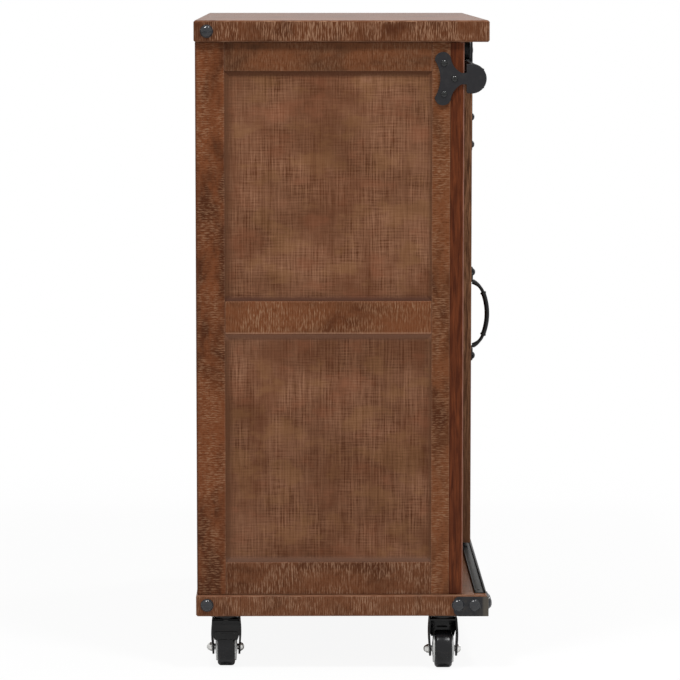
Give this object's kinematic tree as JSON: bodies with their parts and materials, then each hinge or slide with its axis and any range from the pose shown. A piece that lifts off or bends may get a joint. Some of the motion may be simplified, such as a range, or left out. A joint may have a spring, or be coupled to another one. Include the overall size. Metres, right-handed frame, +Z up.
{
  "type": "storage cabinet",
  "caption": "Stained fir cabinet on swivel castors, with framed sides, open shelves and a sliding door that hangs from a steel rail.",
  "frame": {"origin": "middle of the whole outline, at floor level", "axes": "+Z up, -Y towards the front with the door, +X to the right seen from the front"},
  "size_m": [0.754, 0.4065, 0.856],
  "materials": {
    "stained_fir": "brown stain over saw marks",
    "stained_fir_panel": "brown stain, cross sawn",
    "red_stained_fir": "smooth red brown stain",
    "back_board": "thin stained board",
    "black_steel": "satin charcoal",
    "cast_pull": "black cast",
    "zinc_steel": "bright zinc",
    "black_nylon": "matte",
    "castor_wheel": "black with pale hub discs"
  },
  "bodies": {
    "cabinet": {"left_rear_stile": "stained_fir", "left_front_stile": "stained_fir", "left_top_rail": "stained_fir", "left_middle_rail": "stained_fir", "left_bottom_rail": "stained_fir", "left_upper_panel": "stained_fir_panel", "left_lower_panel": "stained_fir_panel", "left_face_post": "red_stained_fir", "left_shelf": "stained_fir", "left_rail_bracket": "black_steel", "right_rear_stile": "stained_fir", "right_front_stile": "stained_fir", "right_top_rail": "stained_fir", "right_middle_rail": "stained_fir", "right_bottom_rail": "stained_fir", "right_upper_panel": "stained_fir_panel", "right_lower_panel": "stained_fir_panel", "right_face_post": "red_stained_fir", "right_shelf": "stained_fir", "right_rail_bracket": "black_steel", "top_board": "stained_fir", "base_board": "stained_fir", "centre_divider": "stained_fir", "face_top_rail": "red_stained_fir", "back_panel": "back_board", "door_rail": "black_steel", "floor_track": "black_steel", "corner_irons": "black_steel", "dome_nails": "black_steel", "castor_plates": "black_steel", "bracket_screws": "black_steel", "track_screws": "black_steel", "castor_screws": "zinc_steel", "shelf_pins": "zinc_steel"},
    "door": {"door_left_stile": "red_stained_fir", "door_right_stile": "red_stained_fir", "door_top_rail": "red_stained_fir", "door_middle_rail": "red_stained_fir", "door_bottom_rail": "red_stained_fir", "door_upper_panel": "stained_fir_panel", "door_lower_panel": "stained_fir_panel", "door_bolts": "black_steel", "door_handle": "cast_pull", "hanger_straps": "black_steel", "roller_pins": "black_steel", "guide_pins": "black_nylon"},
    "left_roller": {"left_roller": "black_nylon"},
    "right_roller": {"right_roller": "black_nylon"},
    "front_left_swivel": {"front_left_castor_fork": "black_steel", "front_left_castor_axle": "zinc_steel"},
    "front_left_wheel": {"front_left_castor_wheel": "castor_wheel"},
    "front_right_swivel": {"front_right_castor_fork": "black_steel", "front_right_castor_axle": "zinc_steel"},
    "front_right_wheel": {"front_right_castor_wheel": "castor_wheel"},
    "rear_left_swivel": {"rear_left_castor_fork": "black_steel", "rear_left_castor_axle": "zinc_steel"},
    "rear_left_wheel": {"rear_left_castor_wheel": "castor_wheel"},
    "rear_right_swivel": {"rear_right_castor_fork": "black_steel", "rear_right_castor_axle": "zinc_steel"},
    "rear_right_wheel": {"rear_right_castor_wheel": "castor_wheel"}
  },
  "joints": [
    {"name": "door_slide", "type": "slide", "parent": "cabinet", "child": "door", "axis": [-1, 0, 0], "range_m": [0, 0.352]},
    {"name": "left_roller_spin", "type": "hinge", "parent": "door", "child": "left_roller", "pos_m": [0.05, -0.1715, 0.8078], "axis": [0, -1, 0], "continuous": true},
    {"name": "right_roller_spin", "type": "hinge", "parent": "door", "child": "right_roller", "pos_m": [0.302, -0.1715, 0.8078], "axis": [0, -1, 0], "continuous": true},
    {"name": "front_left_castor_swivel", "type": "hinge", "parent": "cabinet", "child": "front_left_swivel", "pos_m": [-0.338, -0.12375, 0.065], "axis": [0, 0, 1], "continuous": true},
    {"name": "front_left_wheel_spin", "type": "hinge", "parent": "front_left_swivel", "child": "front_left_wheel", "pos_m": [-0.346, -0.12375, 0.025], "axis": [0, 1, 0], "continuous": true},
    {"name": "front_right_castor_swivel", "type": "hinge", "parent": "cabinet", "child": "front_right_swivel", "pos_m": [0.338, -0.12375, 0.065], "axis": [0, 0, 1], "continuous": true},
    {"name": "front_right_wheel_spin", "type": "hinge", "parent": "front_right_swivel", "child": "front_right_wheel", "pos_m": [0.33, -0.12375, 0.025], "axis": [0, 1, 0], "continuous": true},
    {"name": "rear_left_castor_swivel", "type": "hinge", "parent": "cabinet", "child": "rear_left_swivel", "pos_m": [-0.338, 0.16425, 0.065], "axis": [0, 0, 1], "continuous": true},
    {"name": "rear_left_wheel_spin", "type": "hinge", "parent": "rear_left_swivel", "child": "rear_left_wheel", "pos_m": [-0.33, 0.16425, 0.025], "axis": [0, 1, 0], "continuous": true},
    {"name": "rear_right_castor_swivel", "type": "hinge", "parent": "cabinet", "child": "rear_right_swivel", "pos_m": [0.338, 0.16425, 0.065], "axis": [0, 0, 1], "continuous": true},
    {"name": "rear_right_wheel_spin", "type": "hinge", "parent": "rear_right_swivel", "child": "rear_right_wheel", "pos_m": [0.346, 0.16425, 0.025], "axis": [0, 1, 0], "continuous": true}
  ],
  "couplings": [
    {"joint": "left_roller_spin", "follows": "door_slide", "rad_per_m": 68.966},
    {"joint": "right_roller_spin", "follows": "door_slide", "rad_per_m": 68.966}
  ]
}
